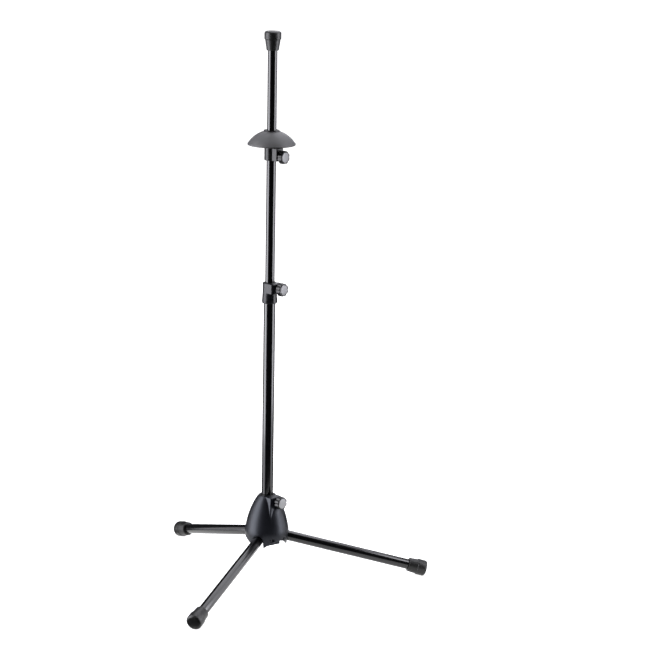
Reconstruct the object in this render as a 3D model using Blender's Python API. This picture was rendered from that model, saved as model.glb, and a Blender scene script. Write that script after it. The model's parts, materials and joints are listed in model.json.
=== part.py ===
"""A folding trombone stand, modelled piece by piece in metres with +Z up.

Three tubular legs are hinged in a die-cast base. A telescopic pole stands in the base and carries
a domed rest for the bell, on a collar that slides along the pole. Three thumb screws clamp the
base, the pole's extension and the collar.
"""

from math import atan2, cos, degrees, pi, radians, sin, sqrt, tan, tau

import bmesh
import bpy
from mathutils import Matrix, Vector

# Gaps and roundness
GAP = 0.0003
CUT_PAST = 0.005
WELD = 0.000001
SHARP_ANGLE = radians(35)
TUBE_STEPS = 24
CAP_STEPS = 24
BELL_STEPS = 54
DOME_STEPS = 40
SMALL_STEPS = 12
ROUND_STEPS = 2
EDGE_STEPS = 1
BELL_CURVE_STEPS = 2
DOME_OUTSIDE_STEPS = 8
DOME_INSIDE_STEPS = 5
SLOT_CEILING_STEPS = 10
POCKET_OUTER_STEPS = 6
POCKET_INNER_STEPS = 3
LUG_CORNER_STEPS = 4

# Stance: the pole stands behind the middle of the footprint, which is the frame's origin
POLE_X = -0.06685
FLOOR_REACH = 0.5
LEG_AZIMUTHS = (0, 120, 240)
POCKET_TURN = 60
LEG_SLOPE = radians(15.19)
HINGE_REACH = 0.028
HINGE_HEIGHT = 0.0813

# Legs, along their own axis from the hinge pin outwards
LEG_RADIUS = 0.009
LEG_WALL = 0.0012
LEG_START = 0.0075
LEG_END = 0.2592
NOSE_LENGTH = 0.020
NOSE_HALF_HEIGHT = 0.006
NOSE_ROUNDING = 0.0015
NOSE_ROOT = -0.0040
NOSE_TAPER = 0.0060
BLOCK_RADIUS = 0.0088
BLOCK_SHOULDER = 0.0072
BLOCK_SPIGOT_LENGTH = 0.018
PIN_RADIUS = 0.0025
PIN_HALF_LENGTH = 0.0234
PIN_CHAMFER = 0.0004

# Rubber caps, alike on the feet and on the pole
CAP_EDGE = 0.0006
CAP_RIDGE = 0.0008

# Foot caps, along the leg's axis
FOOT_START = 0.2315
FOOT_LENGTH = 0.0331
FOOT_MOUTH_RADIUS = 0.012
FOOT_NECK_RADIUS = 0.013
FOOT_DRUM_RADIUS = 0.014
FOOT_DRUM_LENGTH = 0.0165
FOOT_ROUNDING = 0.0045
FOOT_END_WALL = 0.0051

# Top cap
CAP_BOTTOM = 0.9294
CAP_TOP = 0.9613
CAP_MOUTH_RADIUS = 0.01025
CAP_NECK_RADIUS = 0.0130
CAP_DRUM_RADIUS = 0.0142
CAP_DRUM_LENGTH = 0.0130
CAP_ROUNDING = 0.0035

# Base casting
BASE_TOP = 0.1548
BASE_BOTTOM = 0.0666
OUTSIDE_BASE = 0.0500
BASE_OUTLINE = (
    (0.0146, 0.1548), (0.0204, 0.1468), (0.0268, 0.1342), (0.0328, 0.1180),
    (0.0370, 0.1000), (0.0382, 0.0870), (0.0354, 0.0666),
)
CAVITY_RADIUS = 0.0156
CAVITY_TOP = 0.1255
CAVITY_CONE = 0.0030
SLOT_HALF_WIDTH = 0.0093
NOSE_CLEARANCE = 0.0005
TUNNEL_START = 0.0040
TUNNEL_END = 0.0300
ROOF_REACH = 0.0344
CHEEK_THICKNESS = 0.0035
POCKET_OUTER = 0.0335
POCKET_INNER = 0.0195
POCKET_TOP = 0.0940
SCALLOP_RADIUS = 0.0290
SCALLOP_TOP = 0.0790
BASE_SCREW_HEIGHT = 0.1462
BASE_SCREW_AZIMUTH = 310
BASE_BUSH_SEAT = 0.1504
BASE_BUSH_RADIUS = 0.0117
BASE_BUSH_PROUD = 0.0010
BUSH_ROUNDING = 0.0005
BASE_LUG_TOP = 0.1541
BASE_LUG_BOTTOM = 0.1120
BASE_LUG_HALF_WIDTH = 0.0125
BASE_LUG_REACH = 0.0220
BASE_LUG_SIDE_DRAFT = 0.197
BASE_LUG_FRONT_DRAFT = 0.160
BASE_LUG_ROUNDING = 0.0020

# Pole
LOWER_TUBE_RADIUS = 0.010
LOWER_TUBE_TOP = 0.5152
UPPER_TUBE_RADIUS = 0.008
UPPER_TUBE_BOTTOM = 0.3530
UPPER_TUBE_TOP = 0.9553
TUBE_WALL = 0.0012
LOCK_FLANGE_RADIUS = 0.015
LOCK_FLANGE_THICKNESS = 0.004
GUIDE_FLANGE_THICKNESS = 0.003
PLUG_SPIGOT_LENGTH = 0.014
PLUG_ROUNDING = 0.0008

# Extension clamp, on top of the lower tube
CLAMP_BOTTOM = 0.4978
CLAMP_TOP = 0.5333
CLAMP_TOP_RADIUS = 0.0122
CLAMP_BOTTOM_RADIUS = 0.01325
CLAMP_LUG_BOTTOM = 0.5158
CLAMP_LUG_HALF_WIDTH = 0.0121
CLAMP_LUG_REACH = 0.0184
CLAMP_LUG_INSET = 0.0005
CLAMP_LUG_ROUNDING = 0.0045
CLAMP_WAIST_ROUNDING = 0.0100
CLAMP_FOOT_HEIGHT = 0.0030
CLAMP_EDGE = 0.0010
CLAMP_BUSH_SEAT = 0.5295
CLAMP_BUSH_RADIUS = 0.0097
CLAMP_BUSH_PROUD = 0.0005
CLAMP_SCREW_HEIGHT = 0.5248
CLAMP_SCREW_AZIMUTH = 311

# Bell rest and its sliding collar
COLLAR_BOTTOM = 0.7444
COLLAR_SHOULDER = 0.7708
COLLAR_RADIUS = 0.0120
COLLAR_NECK_RADIUS = 0.0100
COLLAR_TOP = 0.7936
COLLAR_LUG_TOP = 0.7660
COLLAR_LUG_HALF_WIDTH = 0.0085
COLLAR_LUG_REACH = 0.0195
COLLAR_LUG_INSET = 0.0004
COLLAR_LUG_ROUNDING = 0.0020
COLLAR_EDGE = 0.0006
COLLAR_SCREW_HEIGHT = 0.7518
COLLAR_SCREW_AZIMUTH = 315
DOME_CENTRE = 0.74833
DOME_RADIUS = 0.0471
DOME_WALL = 0.0030
DOME_RIM_RADIUS = 0.0407
DOME_RIM_BOTTOM = 0.7705
DOME_FLAT_RADIUS = 0.0130
DOME_LIP = 0.0010
DOME_LIP_START = -45
DOME_LIP_END = -90
DOME_HUB_RADIUS = 0.0140
RING_THICKNESS = 0.0015
RING_RADIUS = 0.0134

# Thumb screws, measured outwards from the pole's axis
KNOB_RADIUS = 0.0112
KNOB_THICKNESS = 0.0096
KNOB_NECK_RADIUS = 0.0064
KNOB_FLUTES = 8
KNOB_FLUTE_DEPTH = 0.0012
KNOB_STEPS_PER_FLUTE = 4
KNOB_EDGE = 0.0012
KNOB_RECESS = 0.0010
INLAY_RADIUS = 0.0086
INLAY_EDGE = 0.0009
INLAY_HEIGHT = 0.0014
SCREW_RADIUS = 0.0029
SCREW_IN_KNOB = 0.0056
PAD_RADIUS = 0.0036
PAD_THICKNESS = 0.0025
PAD_WRAP = 0.0010
PAD_TRAVEL = 0.0020
CLAMP_KNOB_BACK = 0.0243
CLAMP_KNOB_NECK_LENGTH = 0.0044
REST_KNOB_BACK = 0.0218
REST_KNOB_NECK_LENGTH = 0.0019
BASE_KNOB_BACK = 0.0285
BASE_KNOB_NECK_LENGTH = 0.0036

# Colour, roughness and metallic value of each finish
FINISHES = {
    "black_casting": ((0.022, 0.022, 0.027), 0.38, 0.0),
    "black_tube": ((0.010, 0.010, 0.012), 0.16, 0.0),
    "grey_clamp": ((0.120, 0.125, 0.140), 0.45, 0.0),
    "rubber": ((0.040, 0.040, 0.040), 0.75, 0.0),
    "grey_dome": ((0.110, 0.110, 0.112), 0.60, 0.0),
    "black_plastic": ((0.018, 0.018, 0.018), 0.40, 0.0),
    "bright_inlay": ((0.720, 0.725, 0.730), 0.25, 0.6),
    "zinc_steel": ((0.520, 0.520, 0.540), 0.35, 1.0),
    "black_steel": ((0.030, 0.030, 0.034), 0.40, 1.0),
    "brass": ((0.640, 0.470, 0.200), 0.35, 1.0),
}


def clear_scene():
    for item in list(bpy.data.objects):
        bpy.data.objects.remove(item, do_unlink=True)


def make_finish(name):
    colour, roughness, metallic = FINISHES[name]
    finish = bpy.data.materials.new(name)
    finish.use_nodes = True
    shader = finish.node_tree.nodes["Principled BSDF"]
    shader.inputs["Base Color"].default_value = (*colour, 1.0)
    shader.inputs["Roughness"].default_value = roughness
    shader.inputs["Metallic"].default_value = metallic
    return finish


# Outlines

def arc(centre, radius, start, end, steps):
    """Points on an arc, from one angle to another in degrees."""
    angles = [radians(start + (end - start) * step / steps) for step in range(steps + 1)]
    return [(centre[0] + radius * cos(angle), centre[1] + radius * sin(angle)) for angle in angles]


def rounded(corners, steps=ROUND_STEPS):
    """A closed outline whose corners (x, y, rounding) are replaced by arcs."""
    outline = []
    for index, (x, y, rounding) in enumerate(corners):
        corner = Vector((x, y))
        if not rounding:
            outline.append((x, y))
            continue
        back = (Vector(corners[index - 1][:2]) - corner).normalized()
        ahead = (Vector(corners[(index + 1) % len(corners)][:2]) - corner).normalized()
        half_angle = back.angle(ahead) / 2
        centre = corner + (back + ahead).normalized() * rounding / sin(half_angle)
        first = corner + back * rounding / tan(half_angle) - centre
        last = corner + ahead * rounding / tan(half_angle) - centre
        turn = pi - 2 * half_angle
        for step in range(steps + 1):
            share = step / steps
            spoke = (first * sin((1 - share) * turn) + last * sin(share * turn)) / sin(turn)
            outline.append(tuple(centre + spoke))
    return outline


def smooth_curve(points, steps):
    """A Catmull-Rom curve through the points."""
    def between(before, here, following, after, t):
        slope = following - before
        bend = 2 * before - 5 * here + 4 * following - after
        twist = 3 * here - before - 3 * following + after
        return 0.5 * (2 * here + slope * t + bend * t ** 2 + twist * t ** 3)

    ends = [points[0], *points, points[-1]]
    curve = []
    for span in zip(ends, ends[1:], ends[2:], ends[3:]):
        for step in range(steps):
            curve.append(tuple(between(*values, step / steps) for values in zip(*span)))
    return [*curve, tuple(points[-1])]


# Solids

def turned(outline, steps, along="Z"):
    """A solid of revolution from (radius, height) points. An outline that starts and ends on the
    axis stays open there; any other is closed into a ring."""
    mesh = bmesh.new()
    verts = [mesh.verts.new((radius, 0.0, height)) for radius, height in outline]
    edges = [mesh.edges.new(pair) for pair in zip(verts, verts[1:])]
    if outline[0][0] > 0:
        edges.append(mesh.edges.new((verts[-1], verts[0])))
    bmesh.ops.spin(mesh, geom=verts + edges, cent=(0, 0, 0), axis=(0, 0, 1), angle=tau, steps=steps)
    bmesh.ops.remove_doubles(mesh, verts=mesh.verts, dist=WELD)
    bmesh.ops.recalc_face_normals(mesh, faces=mesh.faces)
    if along == "X":
        bmesh.ops.rotate(mesh, verts=mesh.verts, matrix=Matrix.Rotation(pi / 2, 3, "Y"))
    if along == "Y":
        bmesh.ops.rotate(mesh, verts=mesh.verts, matrix=Matrix.Rotation(-pi / 2, 3, "X"))
    return mesh


def prism(outline, low, high, across="Z"):
    """A closed outline extruded along Z, or a side view in X and Z extruded along Y."""
    mesh = bmesh.new()
    if across == "Z":
        verts = [mesh.verts.new((x, y, low)) for x, y in outline]
        depth = Vector((0, 0, high - low))
    else:
        verts = [mesh.verts.new((x, low, z)) for x, z in outline]
        depth = Vector((0, high - low, 0))
    face = mesh.faces.new(verts)
    sides = bmesh.ops.extrude_face_region(mesh, geom=[face])
    moved = [item for item in sides["geom"] if isinstance(item, bmesh.types.BMVert)]
    bmesh.ops.translate(mesh, verts=moved, vec=depth)
    bmesh.ops.recalc_face_normals(mesh, faces=mesh.faces)
    return mesh


def rod(radius, low, high, steps=SMALL_STEPS, along="X"):
    return turned([(0, low), (radius, low), (radius, high), (0, high)], steps, along)


def tube(radius, low, high, along="Z"):
    bore = radius - TUBE_WALL
    return turned([(radius, low), (radius, high), (bore, high), (bore, low)], TUBE_STEPS, along)


def bush_mesh(bore, radius, low, high):
    section = [(bore, low, 0), (radius, low, 0), (radius, high, BUSH_ROUNDING), (bore, high, 0)]
    return turned(rounded(section, EDGE_STEPS), TUBE_STEPS)


# Scene objects

def add_object(name, mesh, parent):
    data = bpy.data.meshes.new(name)
    mesh.to_mesh(data)
    mesh.free()
    data.shade_smooth()
    data.set_sharp_from_angle(angle=SHARP_ANGLE)
    item = bpy.data.objects.new(name, data)
    bpy.context.scene.collection.objects.link(item)
    item.parent = parent
    return item


def add_piece(name, mesh, finish, parent):
    piece = add_object(name, mesh, parent)
    piece.data.materials.append(finish)
    return piece


def add_tool(name, mesh, parent):
    tool = add_object(name, mesh, parent)
    tool.hide_render = True
    tool.display_type = "WIRE"
    return tool


def combine(piece, tool, operation="DIFFERENCE"):
    modifier = piece.modifiers.new(tool.name, "BOOLEAN")
    modifier.operation = operation
    modifier.solver = "EXACT"
    modifier.object = tool


def add_empty(name, parent, location=(0, 0, 0), azimuth=0.0, slope=0.0):
    """A guide whose X axis points along an azimuth, and down by a slope."""
    empty = bpy.data.objects.new(name, None)
    bpy.context.scene.collection.objects.link(empty)
    empty.parent = parent
    empty.location = location
    empty.rotation_euler = (0, slope, azimuth)
    return empty


# Base

def lug_block(top, bottom, half_width, reach, side_draft, front_draft, rounding):
    """A block that sticks out along X, its sides and front leaning outwards on the way down."""
    mesh = bmesh.new()
    corners = []
    for height in (top, bottom):
        spread = half_width + (top - height) * side_draft
        front = reach + (top - height) * front_draft
        plan = ((0, -spread), (front, -spread), (front, spread), (0, spread))
        corners.append([mesh.verts.new((x, y, height)) for x, y in plan])
    mesh.faces.new(corners[0])
    mesh.faces.new(reversed(corners[1]))
    for index in range(4):
        following = (index + 1) % 4
        mesh.faces.new((corners[0][index], corners[1][index], corners[1][following], corners[0][following]))
    bmesh.ops.recalc_face_normals(mesh, faces=mesh.faces)
    upright = [mesh.edges.get((corners[0][index], corners[1][index])) for index in (1, 2)]
    bmesh.ops.bevel(mesh, geom=upright, offset=rounding, segments=LUG_CORNER_STEPS, profile=0.5,
                    affect="EDGES")
    return mesh


def fold_slot_outline():
    """Side view of the room that a leg and its nose need, from the leg's open to its folded place."""
    def leg_axis_height(reach):
        return HINGE_HEIGHT - (reach - HINGE_REACH) * tan(LEG_SLOPE)

    below = BASE_BOTTOM - CUT_PAST
    sweep = sqrt(NOSE_LENGTH ** 2 + NOSE_HALF_HEIGHT ** 2) + NOSE_CLEARANCE
    roof_run = ROOF_REACH - HINGE_REACH
    roof_angle = degrees(atan2(sqrt(sweep ** 2 - roof_run ** 2), roof_run))
    ceiling = arc((HINGE_REACH, HINGE_HEIGHT), sweep, roof_angle, 180, SLOT_CEILING_STEPS)
    return [
        (0, below), (OUTSIDE_BASE, below), (OUTSIDE_BASE, leg_axis_height(OUTSIDE_BASE)),
        (ROOF_REACH, leg_axis_height(ROOF_REACH)), *ceiling, (0, HINGE_HEIGHT),
    ]


def pocket_outline(inner, outer):
    """Plan of the hollow between two legs' cheeks, about the X axis."""
    plane = SLOT_HALF_WIDTH + CHEEK_THICKNESS
    outer_angle = POCKET_TURN - degrees(atan2(plane, sqrt(outer ** 2 - plane ** 2)))
    inner_angle = POCKET_TURN - degrees(atan2(plane, sqrt(inner ** 2 - plane ** 2)))
    return [
        *arc((0, 0), outer, -outer_angle, outer_angle, POCKET_OUTER_STEPS),
        *arc((0, 0), inner, inner_angle, -inner_angle, POCKET_INNER_STEPS),
    ]


def pin_bore():
    return rod(PIN_RADIUS + GAP, -OUTSIDE_BASE, OUTSIDE_BASE, along="Y")


def build_base(stand, legs, finishes):
    """The die-cast base: a bell, hollow from below, with the screw's lug and a roofed slot for each leg."""
    skin = smooth_curve(BASE_OUTLINE, BELL_CURVE_STEPS)
    solid = turned([(0, BASE_TOP), *skin, (0, BASE_BOTTOM)], BELL_STEPS)
    casting = add_piece("base_casting", solid, finishes["black_casting"], stand)

    lug_guide = add_empty("base_lug_guide", stand, azimuth=radians(BASE_SCREW_AZIMUTH))
    lug = lug_block(BASE_LUG_TOP, BASE_LUG_BOTTOM, BASE_LUG_HALF_WIDTH, BASE_LUG_REACH,
                    BASE_LUG_SIDE_DRAFT, BASE_LUG_FRONT_DRAFT, BASE_LUG_ROUNDING)
    combine(casting, add_tool("base_lug_tool", lug, lug_guide), "UNION")

    bore = LOWER_TUBE_RADIUS + GAP
    seat = BASE_BUSH_RADIUS + GAP
    below, above = BASE_BOTTOM - CUT_PAST, BASE_TOP + CUT_PAST
    hollow = [
        (0, below), (CAVITY_RADIUS, below), (CAVITY_RADIUS, CAVITY_TOP), (bore, CAVITY_TOP + CAVITY_CONE),
        (bore, BASE_BUSH_SEAT), (seat, BASE_BUSH_SEAT), (seat, above), (0, above),
    ]
    combine(casting, add_tool("base_hollow_tool", turned(hollow, TUBE_STEPS), stand))

    for number, leg_frame in enumerate(legs, 1):
        radial = add_empty(f"slot_guide_{number}", stand, azimuth=radians(LEG_AZIMUTHS[number - 1]))
        between_legs = radians(LEG_AZIMUTHS[number - 1] + POCKET_TURN)
        valley = add_empty(f"pocket_guide_{number}", stand, azimuth=between_legs)
        slot = prism(fold_slot_outline(), -SLOT_HALF_WIDTH, SLOT_HALF_WIDTH, across="Y")
        tunnel = rod(LEG_RADIUS + GAP, TUNNEL_START, TUNNEL_END, TUBE_STEPS)
        pocket = prism(pocket_outline(POCKET_INNER, POCKET_OUTER), below, POCKET_TOP)
        scallop = rod(SCALLOP_RADIUS, POCKET_INNER, OUTSIDE_BASE, TUBE_STEPS)
        bmesh.ops.translate(scallop, verts=scallop.verts, vec=(0, 0, SCALLOP_TOP - SCALLOP_RADIUS))
        combine(casting, add_tool(f"fold_slot_tool_{number}", slot, radial))
        combine(casting, add_tool(f"tunnel_tool_{number}", tunnel, leg_frame))
        combine(casting, add_tool(f"pocket_tool_{number}", pocket, valley))
        combine(casting, add_tool(f"scallop_tool_{number}", scallop, valley))
        combine(casting, add_tool(f"pin_hole_tool_{number}", pin_bore(), leg_frame))

    bush = bush_mesh(bore, BASE_BUSH_RADIUS, BASE_BUSH_SEAT + GAP, BASE_TOP + BASE_BUSH_PROUD)
    add_piece("base_bush", bush, finishes["black_plastic"], stand)
    return casting


# Legs

def cap_outline(mouth, end, drum_length, radii, rounding, bore, bore_end):
    """Half section of a rubber cap: a flaring sleeve, a small ridge, and a drum with a rounded end."""
    mouth_radius, neck_radius, drum_radius = radii
    ridge = end - drum_length
    return [
        *rounded([(0, end, 0), (drum_radius, end, rounding), (drum_radius, ridge, 0)])[:-1],
        *rounded([
            (drum_radius, end, 0), (drum_radius, ridge, CAP_EDGE), (neck_radius, ridge - CAP_RIDGE, 0),
            (mouth_radius, mouth, CAP_EDGE), (bore, mouth, 0), (bore, bore_end, 0), (0, bore_end, 0),
        ], EDGE_STEPS)[1:],
    ]


def build_leg(number, leg_frame, floor_tool, stand, finishes):
    """One leg: tube, hinge block with its locking nose, pin, and a cap cut flat where it stands."""
    tube_mesh = turned([
        (LEG_RADIUS, LEG_START), (LEG_RADIUS, LEG_END),
        (LEG_RADIUS - LEG_WALL, LEG_END), (LEG_RADIUS - LEG_WALL, LEG_START),
    ], TUBE_STEPS, "X")
    add_piece(f"leg_tube_{number}", tube_mesh, finishes["black_tube"], leg_frame)

    block_end = BLOCK_SHOULDER + BLOCK_SPIGOT_LENGTH
    spigot = LEG_RADIUS - LEG_WALL - GAP
    round_block = turned([
        (0, -NOSE_LENGTH), (BLOCK_RADIUS, -NOSE_LENGTH), (BLOCK_RADIUS, BLOCK_SHOULDER),
        (spigot, BLOCK_SHOULDER), (spigot, block_end), (0, block_end),
    ], CAP_STEPS, "X")
    block = add_piece(f"leg_hinge_block_{number}", round_block, finishes["black_plastic"], leg_frame)
    nose_view = rounded([
        (-NOSE_LENGTH, -NOSE_HALF_HEIGHT, NOSE_ROUNDING), (NOSE_ROOT, -NOSE_HALF_HEIGHT, 0),
        (NOSE_ROOT + NOSE_TAPER, -LEG_RADIUS, 0), (block_end + GAP, -LEG_RADIUS, 0),
        (block_end + GAP, LEG_RADIUS, 0), (NOSE_ROOT + NOSE_TAPER, LEG_RADIUS, 0),
        (NOSE_ROOT, NOSE_HALF_HEIGHT, 0), (-NOSE_LENGTH, NOSE_HALF_HEIGHT, NOSE_ROUNDING),
    ])
    flats = prism(nose_view, -LEG_RADIUS, LEG_RADIUS, across="Y")
    combine(block, add_tool(f"nose_tool_{number}", flats, leg_frame), "INTERSECT")
    combine(block, add_tool(f"block_bore_tool_{number}", pin_bore(), leg_frame))

    pin = turned(rounded([
        (0, -PIN_HALF_LENGTH, 0), (PIN_RADIUS, -PIN_HALF_LENGTH, PIN_CHAMFER),
        (PIN_RADIUS, PIN_HALF_LENGTH, PIN_CHAMFER), (0, PIN_HALF_LENGTH, 0),
    ], EDGE_STEPS), SMALL_STEPS, "Y")
    pin_guide = add_empty(f"pin_guide_{number}", stand, azimuth=radians(LEG_AZIMUTHS[number - 1]))
    pin_piece = add_piece(f"hinge_pin_{number}", pin, finishes["black_steel"], pin_guide)
    pin_piece.location = (HINGE_REACH, 0, HINGE_HEIGHT)

    end = FOOT_START + FOOT_LENGTH
    radii = (FOOT_MOUTH_RADIUS, FOOT_NECK_RADIUS, FOOT_DRUM_RADIUS)
    outline = cap_outline(FOOT_START, end, FOOT_DRUM_LENGTH, radii, FOOT_ROUNDING,
                          LEG_RADIUS + GAP, end - FOOT_END_WALL)
    foot = add_piece(f"foot_cap_{number}", turned(outline, CAP_STEPS, "X"), finishes["rubber"], leg_frame)
    combine(foot, floor_tool)


# Pole

def nose_top():
    """Highest point of an open leg's nose, which the lock plug holds down."""
    return (HINGE_HEIGHT + (NOSE_LENGTH - NOSE_ROUNDING) * sin(LEG_SLOPE)
            + (NOSE_HALF_HEIGHT - NOSE_ROUNDING) * cos(LEG_SLOPE) + NOSE_ROUNDING)


def plug_mesh(flange_radius, spigot, flange_bottom, flange_top):
    """A turned plug: a flange below, and a spigot that goes up into a tube."""
    top = flange_top + PLUG_SPIGOT_LENGTH
    return turned(rounded([
        (0, flange_bottom, 0), (flange_radius, flange_bottom, PLUG_ROUNDING),
        (flange_radius, flange_top, PLUG_ROUNDING), (spigot, flange_top, 0), (spigot, top, PLUG_ROUNDING),
        (0, top, 0),
    ], EDGE_STEPS), TUBE_STEPS)


def build_lower_pole(lift, finishes):
    """The lower tube, the flanged plug that locks the legs, and the extension clamp on its top."""
    flange_bottom = nose_top() + GAP
    flange_top = flange_bottom + LOCK_FLANGE_THICKNESS
    spigot = LOWER_TUBE_RADIUS - TUBE_WALL - GAP
    plug = plug_mesh(LOCK_FLANGE_RADIUS, spigot, flange_bottom, flange_top)
    add_piece("tube_lock_plug", plug, finishes["black_plastic"], lift)
    lower_tube = tube(LOWER_TUBE_RADIUS, flange_top + GAP, LOWER_TUBE_TOP)
    add_piece("lower_tube", lower_tube, finishes["black_tube"], lift)
    return build_extension_clamp(lift, finishes)


def build_extension_clamp(lift, finishes):
    sleeve = turned(rounded([
        (0, CLAMP_TOP, 0), (CLAMP_TOP_RADIUS, CLAMP_TOP, CLAMP_EDGE),
        (CLAMP_TOP_RADIUS, CLAMP_LUG_BOTTOM, CLAMP_WAIST_ROUNDING),
        (CLAMP_BOTTOM_RADIUS, CLAMP_BOTTOM + CLAMP_FOOT_HEIGHT, 0),
        (CLAMP_BOTTOM_RADIUS, CLAMP_BOTTOM, CLAMP_EDGE), (0, CLAMP_BOTTOM, 0),
    ]), TUBE_STEPS)
    clamp = add_piece("extension_clamp", sleeve, finishes["grey_clamp"], lift)
    guide = add_empty("clamp_lug_guide", lift, azimuth=radians(CLAMP_SCREW_AZIMUTH))
    lug = lug_block(CLAMP_TOP - CLAMP_LUG_INSET, CLAMP_LUG_BOTTOM, CLAMP_LUG_HALF_WIDTH,
                    CLAMP_LUG_REACH, 0, 0, CLAMP_LUG_ROUNDING)
    combine(clamp, add_tool("clamp_lug_tool", lug, guide), "UNION")
    lower_bore = LOWER_TUBE_RADIUS + GAP
    upper_bore = UPPER_TUBE_RADIUS + GAP
    seat = CLAMP_BUSH_RADIUS + GAP
    below, above = CLAMP_BOTTOM - CUT_PAST, CLAMP_TOP + CUT_PAST
    step = LOWER_TUBE_TOP + GAP
    hollow = [
        (0, below), (lower_bore, below), (lower_bore, step), (upper_bore, step),
        (upper_bore, CLAMP_BUSH_SEAT), (seat, CLAMP_BUSH_SEAT), (seat, above), (0, above),
    ]
    combine(clamp, add_tool("clamp_hollow_tool", turned(hollow, TUBE_STEPS), lift))
    bush = bush_mesh(upper_bore, CLAMP_BUSH_RADIUS, CLAMP_BUSH_SEAT + GAP, CLAMP_TOP + CLAMP_BUSH_PROUD)
    add_piece("clamp_bush", bush, finishes["black_plastic"], lift)
    return clamp


def build_upper_pole(guide_body, swivel_body, finishes):
    """The upper tube with its cap, and the plug that guides its lower end inside the lower tube."""
    guide_radius = LOWER_TUBE_RADIUS - TUBE_WALL - GAP
    spigot = UPPER_TUBE_RADIUS - TUBE_WALL - GAP
    flange_top = UPPER_TUBE_BOTTOM - GAP
    plug = plug_mesh(guide_radius, spigot, flange_top - GUIDE_FLANGE_THICKNESS, flange_top)
    add_piece("extension_guide_plug", plug, finishes["black_plastic"], guide_body)
    add_piece("upper_tube", tube(UPPER_TUBE_RADIUS, UPPER_TUBE_BOTTOM, UPPER_TUBE_TOP),
              finishes["black_tube"], swivel_body)
    radii = (CAP_MOUTH_RADIUS, CAP_NECK_RADIUS, CAP_DRUM_RADIUS)
    outline = cap_outline(CAP_BOTTOM, CAP_TOP, CAP_DRUM_LENGTH, radii, CAP_ROUNDING,
                          UPPER_TUBE_RADIUS + GAP, UPPER_TUBE_TOP + GAP)
    add_piece("top_cap", turned(outline, CAP_STEPS), finishes["rubber"], swivel_body)


# Bell rest

def build_bell_rest(slide, finishes):
    """The collar that slides on the upper tube, the dome on its neck, and the ring on top."""
    sleeve = turned(rounded([
        (0, COLLAR_TOP, 0), (COLLAR_NECK_RADIUS, COLLAR_TOP, COLLAR_EDGE),
        (COLLAR_NECK_RADIUS, COLLAR_SHOULDER, 0), (COLLAR_RADIUS, COLLAR_SHOULDER, COLLAR_EDGE),
        (COLLAR_RADIUS, COLLAR_BOTTOM, COLLAR_EDGE), (0, COLLAR_BOTTOM, 0),
    ], EDGE_STEPS), TUBE_STEPS)
    collar = add_piece("rest_collar", sleeve, finishes["black_plastic"], slide)
    guide = add_empty("collar_lug_guide", slide, azimuth=radians(COLLAR_SCREW_AZIMUTH))
    lug = lug_block(COLLAR_LUG_TOP, COLLAR_BOTTOM + COLLAR_LUG_INSET, COLLAR_LUG_HALF_WIDTH,
                    COLLAR_LUG_REACH, 0, 0, COLLAR_LUG_ROUNDING)
    combine(collar, add_tool("collar_lug_tool", lug, guide), "UNION")
    bore = rod(UPPER_TUBE_RADIUS + GAP, COLLAR_BOTTOM - CUT_PAST, COLLAR_TOP + CUT_PAST, TUBE_STEPS, "Z")
    combine(collar, add_tool("collar_bore_tool", bore, slide))

    def dome_arc(radius, start_reach, end_reach, steps):
        start = degrees(atan2(sqrt(radius ** 2 - start_reach ** 2), start_reach))
        end = degrees(atan2(sqrt(radius ** 2 - end_reach ** 2), end_reach))
        return arc((0, DOME_CENTRE), radius, start, end, steps)

    hub_bore = COLLAR_NECK_RADIUS + GAP
    hub_bottom = COLLAR_SHOULDER + GAP
    outer = dome_arc(DOME_RADIUS, DOME_FLAT_RADIUS, DOME_RIM_RADIUS, DOME_OUTSIDE_STEPS)
    inner = dome_arc(DOME_RADIUS - DOME_WALL, DOME_RIM_RADIUS - DOME_WALL, DOME_HUB_RADIUS,
                     DOME_INSIDE_STEPS)
    lip = arc((DOME_RIM_RADIUS - DOME_LIP, DOME_RIM_BOTTOM + DOME_LIP), DOME_LIP,
              DOME_LIP_START, DOME_LIP_END, EDGE_STEPS)
    section = [
        (hub_bore, outer[0][1]), *outer, *lip, (DOME_RIM_RADIUS - DOME_WALL, DOME_RIM_BOTTOM),
        *inner, (DOME_HUB_RADIUS, hub_bottom), (hub_bore, hub_bottom),
    ]
    add_piece("bell_rest", turned(section, DOME_STEPS), finishes["grey_dome"], slide)

    ring_bottom = outer[0][1] + GAP
    ring = bush_mesh(UPPER_TUBE_RADIUS + GAP, RING_RADIUS, ring_bottom, ring_bottom + RING_THICKNESS)
    add_piece("rest_ring", ring, finishes["black_plastic"], slide)
    return collar


# Thumb screws

def knob_mesh(back, neck_length):
    """A fluted knob along X: a neck, a drum with finger flutes, and a round recess for the inlay."""
    face = back + KNOB_THICKNESS
    neck_start = back - neck_length
    bore = SCREW_RADIUS + GAP
    bore_end = back + SCREW_IN_KNOB + GAP
    recess = INLAY_RADIUS + GAP
    mesh = turned(rounded([
        (0, bore_end, 0), (bore, bore_end, 0), (bore, neck_start, 0), (KNOB_NECK_RADIUS, neck_start, 0),
        (KNOB_NECK_RADIUS, back, 0), (KNOB_RADIUS, back, KNOB_EDGE), (KNOB_RADIUS, face, KNOB_EDGE),
        (recess, face, 0), (recess, face - KNOB_RECESS, 0), (0, face - KNOB_RECESS, 0),
    ], EDGE_STEPS), KNOB_FLUTES * KNOB_STEPS_PER_FLUTE, "X")
    for vert in mesh.verts:
        reach = sqrt(vert.co.y ** 2 + vert.co.z ** 2)
        if reach > recess + WELD:
            angle = atan2(vert.co.z, vert.co.y)
            share = (1 + cos(KNOB_FLUTES * angle)) / 2
            depth = KNOB_FLUTE_DEPTH * share ** 2
            vert.co.y *= (reach - depth) / reach
            vert.co.z *= (reach - depth) / reach
    return mesh


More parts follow.
